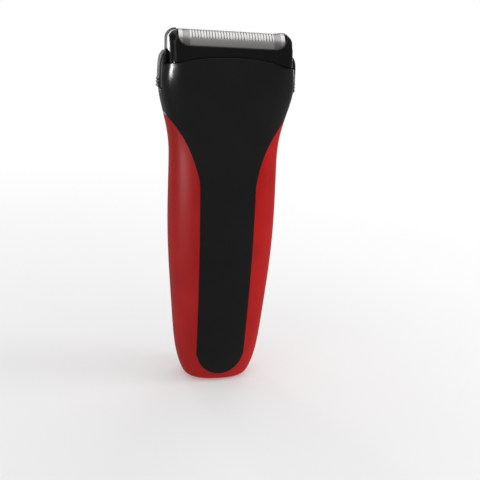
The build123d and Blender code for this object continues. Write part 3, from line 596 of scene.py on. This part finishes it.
def slot_width(distance):
    """Half the opening at this distance round the arch: 0 between rows, narrow at a slot's rounded ends."""
    for low, high in SLOT_SPANS:
        if low <= distance <= high:
            end = min(distance - low, high - distance)
            return SLOT_HALF * math.sqrt(min(1.0, SLOT_TIP + end / SLOT_END))
    return 0.0


def foil_mesh(name, side):
    """One foil as a thin sheet: rows run round the arch and down its legs, columns run along it."""
    rows = []
    for low, high in SLOT_SPANS:
        straight = high - low - 2 * SLOT_END
        count = round(straight / SLOT_STEP)
        rows += [low] + [low + SLOT_END + straight * k / count for k in range(count + 1)] + [high]
    quarter = math.pi / 2 * FOIL_R
    extra = [-quarter - (FOIL_Z - FOIL_LEG), -quarter - LEG_ROW, -quarter, -quarter + DENT_MARGIN]
    rows = extra + rows + [-s for s in reversed(extra)]
    columns = foil_columns()
    verts = []
    for s in rows:
        for x, role in columns:
            radius = FOIL_R
            if role == "dent" and DENT_MARGIN < abs(s) < quarter - DENT_MARGIN:
                radius -= DENT[2]
            if role in ("left", "right"):
                half = slot_width(s) or SLOT_HALF
                x += -half if role == "left" else half
            if abs(s) <= quarter:
                angle = s / FOIL_R
                y, z = radius * math.sin(angle), FOIL_Z + radius * math.cos(angle)
            else:
                y, z = math.copysign(radius, s), FOIL_Z - (abs(s) - quarter)
            verts.append((x, side * FOIL_Y + y, z))
    width = len(columns)
    faces = []
    for r in range(len(rows) - 1):
        middle = (rows[r] + rows[r + 1]) / 2
        for c in range(width - 1):
            role = columns[c][1]
            if role == "left" and slot_width(middle) > 0:
                continue
            a = r * width + c
            faces.append((a, a + 1, a + width + 1, a + width))
    mesh = bpy.data.meshes.new(name)
    mesh.from_pydata([(x * MM, y * MM, z * MM) for x, y, z in verts], [], faces)
    return mesh


def thicken(mesh, thickness):
    """The sheet given real thickness inwards, with crisp rims."""
    obj = new_object("sheet_work", mesh)
    solid = obj.modifiers.new("thickness", "SOLIDIFY")
    solid.thickness = thickness * MM
    solid.offset = -1
    done = bpy.data.meshes.new_from_object(obj.evaluated_get(bpy.context.evaluated_depsgraph_get()))
    bpy.data.objects.remove(obj)
    done.shade_smooth()
    done.set_sharp_from_angle(angle=math.radians(FOIL_SHARP))
    return done


def make_foils():
    for side, sign in (("rear", -1), ("front", 1)):
        mesh = thicken(foil_mesh(f"{side}_foil_sheet", sign), FOIL_T)
        mesh.name = f"{side}_foil_sheet"
        add_piece(f"{side}_foil_sheet", mesh, f"{side}_foil_unit", f"{side}_foil")


# ---------------------------------------------------------------- stage, light and camera
def make_floor():
    """A round sheet of pale paper, just under the foot, that fades into the white of the backdrop."""
    turns = (2 * math.pi * k / FLOOR_SPOKES for k in range(FLOOR_SPOKES))
    rim = [(FLOOR_RADIUS * math.cos(a), FLOOR_RADIUS * math.sin(a), -FLOOR_CLEARANCE) for a in turns]
    mesh = bpy.data.meshes.new("floor")
    mesh.from_pydata(rim, [], [range(FLOOR_SPOKES)])
    paper = Shader("paper", (0.84, 0.84, 0.84), 0.8)
    paper.mottle(paper.span(paper.noise(PAPER_SCALE), 0, 1), (0.83, 0.83, 0.83), (0.85, 0.85, 0.85))
    glow = paper.node("ShaderNodeEmission", Strength=1.0)
    glow.inputs["Color"].default_value = (1, 1, 1, 1)
    reach = paper.node("ShaderNodeVectorMath", operation="LENGTH")
    paper.link(paper.coords, reach.inputs[0])
    fade = paper.node("ShaderNodeMixShader")
    near, far = (share * FLOOR_RADIUS for share in FLOOR_FADE)
    paper.link(paper.span(reach.outputs["Value"], *FLOOR_GLOW, near, far), fade.inputs["Fac"])
    paper.link(paper.bsdf.outputs[0], fade.inputs[1])
    paper.link(glow.outputs[0], fade.inputs[2])
    paper.link(fade.outputs[0], paper.tree.nodes["Material Output"].inputs["Surface"])
    mesh.materials.append(paper.material)
    floor = new_object("floor", mesh)
    floor.visible_glossy = False     # the gloss of the plastics mirrors the lights alone


def make_backdrop():
    """White all round for the eye, a dim even room for the light that reaches the object."""
    world = bpy.data.worlds.new("studio")
    bpy.context.scene.world = world
    world.use_nodes = True
    tree = world.node_tree
    room = tree.nodes["Background"]
    room.inputs["Color"].default_value = (1, 1, 1, 1)
    room.inputs["Strength"].default_value = ROOM_LIGHT
    white = tree.nodes.new("ShaderNodeBackground")
    white.inputs["Color"].default_value = (1, 1, 1, 1)
    seen = tree.nodes.new("ShaderNodeLightPath")
    choose = tree.nodes.new("ShaderNodeMixShader")
    tree.links.new(seen.outputs["Is Camera Ray"], choose.inputs["Fac"])
    tree.links.new(room.outputs[0], choose.inputs[1])
    tree.links.new(white.outputs[0], choose.inputs[2])
    tree.links.new(choose.outputs[0], tree.nodes["World Output"].inputs["Surface"])


def area_light(name, place, target, width, height, power, glossy=True, diffuse=True):
    data = bpy.data.lights.new(name, "AREA")
    data.shape = "RECTANGLE"
    data.size, data.size_y = width, height
    data.energy = power
    light = new_object(name, data)
    light.location = place
    light.rotation_euler = (Vector(target) - Vector(place)).to_track_quat("-Z", "Y").to_euler()
    light.visible_glossy = glossy
    light.visible_diffuse = diffuse


def light_scene():
    """Each light: where it stands, where it points, its width, height and power in watts."""
    bpy.context.scene.view_settings.view_transform = "Standard"
    middle, head = (0, 0, 0.09), (0, 0, 0.15)
    area_light("overhead", (0.0, 0.0, 1.2), middle, 2.2, 1.8, 13)
    area_light("front_left", (-0.5, -0.55, 0.55), middle, 0.35, 0.35, 0.4)
    area_light("right_side", (0.75, -0.15, 0.3), middle, 0.3, 0.6, 3.0, glossy=False)
    area_light("right_edge", (0.5, 0.5, 0.35), head, 0.06, 0.5, 0.25)
    area_light("rear_left_strip", (-0.28, 0.85, 0.45), head, 0.1, 0.9, 1.3)
    area_light("left_window", (-0.59, -0.25, 0.17), (-0.03, 0, 0.14), 0.12, 0.1, 2.6, diffuse=False)
    area_light("back_window", (0.3, 0.6, 0.3), (0, 0, 0.08), 0.3, 0.3, 0.8)


def make_camera():
    data = bpy.data.cameras.new("camera")
    data.sensor_width = SENSOR_MM
    data.lens = LENS_MM
    data.clip_start = 0.01
    camera = new_object("camera", data)
    camera.location = EYE
    aim = Vector((math.sin(YAW) * math.cos(PITCH), math.cos(YAW) * math.cos(PITCH), -math.sin(PITCH)))
    camera.rotation_mode = "QUATERNION"
    camera.rotation_quaternion = aim.to_track_quat("-Z", "Y") @ Quaternion((0, 0, 1), ROLL)
    bpy.context.scene.camera = camera


make_cassette()
make_release_buttons()
make_foils()
make_power_key()
make_springs()
make_floor()
make_backdrop()
light_scene()
make_camera()
